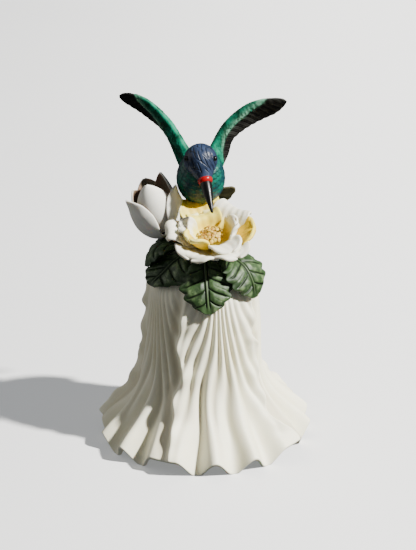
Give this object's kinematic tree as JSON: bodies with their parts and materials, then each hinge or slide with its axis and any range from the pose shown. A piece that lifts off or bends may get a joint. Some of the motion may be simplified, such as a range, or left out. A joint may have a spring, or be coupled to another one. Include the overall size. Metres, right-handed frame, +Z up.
{
  "type": "porcelain figurine bell",
  "caption": "Hand bell shaped like an upturned trumpet flower, topped by leaves, an open flower, a bud and a hummingbird, with a swinging clapper inside.",
  "frame": {"origin": "on the table at the middle of the skirt's hem", "axes": "+Z up the bell, -Y towards the front, where the bird faces, +X to the bell's right as seen from the front"},
  "size_m": [0.0806, 0.08, 0.1299],
  "materials": {
    "bell_bisque": "matte cream bisque",
    "fitting_brass": "drawn wire",
    "bead_porcelain": "glazed",
    "petal_bisque": "matte, tinted yellow",
    "bud_bisque": "matte white",
    "stem_green": "painted matte",
    "leaf_green": "painted matte",
    "stamen_yellow": "painted matte",
    "wing_paint": "painted satin",
    "tail_olive": "painted matte",
    "body_teal": "painted satin",
    "head_blue": "painted gloss",
    "band_red": "painted gloss",
    "beak_black": "painted gloss",
    "eye_black": "painted gloss"
  },
  "bodies": {
    "bell": {"beak": "beak_black", "beak_band": "band_red", "bell_skirt": "bell_bisque", "bird_body": "body_teal", "bird_head": "head_blue", "bird_support": "stem_green", "bird_tail": "tail_olive", "bud_petal_inner_1": "bud_bisque", "bud_petal_inner_2": "bud_bisque", "bud_petal_inner_3": "bud_bisque", "bud_petal_outer_1": "bud_bisque", "bud_petal_outer_2": "bud_bisque", "bud_petal_outer_3": "bud_bisque", "bud_stem": "stem_green", "crown_plug": "bell_bisque", "eyes": "eye_black", "flower_calyx": "stem_green", "hanger_staple": "fitting_brass", "leaf_back": "leaf_green", "leaf_back_left": "leaf_green", "leaf_back_right": "leaf_green", "leaf_front": "leaf_green", "leaf_front_left": "leaf_green", "leaf_left": "leaf_green", "leaf_right": "leaf_green", "petal_inner_back": "petal_bisque", "petal_inner_front": "petal_bisque", "petal_inner_front_right": "petal_bisque", "petal_inner_left": "petal_bisque", "petal_inner_right": "petal_bisque", "petal_outer_back_left": "petal_bisque", "petal_outer_back_right": "petal_bisque", "petal_outer_front": "petal_bisque", "petal_outer_front_right": "petal_bisque", "petal_outer_left": "petal_bisque", "petal_outer_right": "petal_bisque", "stamens": "stamen_yellow", "wing_left": "wing_paint", "wing_right": "wing_paint"},
    "link": {"clapper_link": "fitting_brass"},
    "clapper": {"clapper_rod": "fitting_brass", "clapper_bead": "bead_porcelain"}
  },
  "joints": [
    {"name": "link_swing", "type": "hinge", "parent": "bell", "child": "link", "pos_m": [-0.0011, 0, 0.0665], "axis": [1, 0, 0], "range_deg": [-14, 14]},
    {"name": "clapper_swing", "type": "hinge", "parent": "link", "child": "clapper", "pos_m": [-0.0011, 0, 0.05568], "axis": [0, 1, 0], "range_deg": [-17.5, 17.5]}
  ]
}
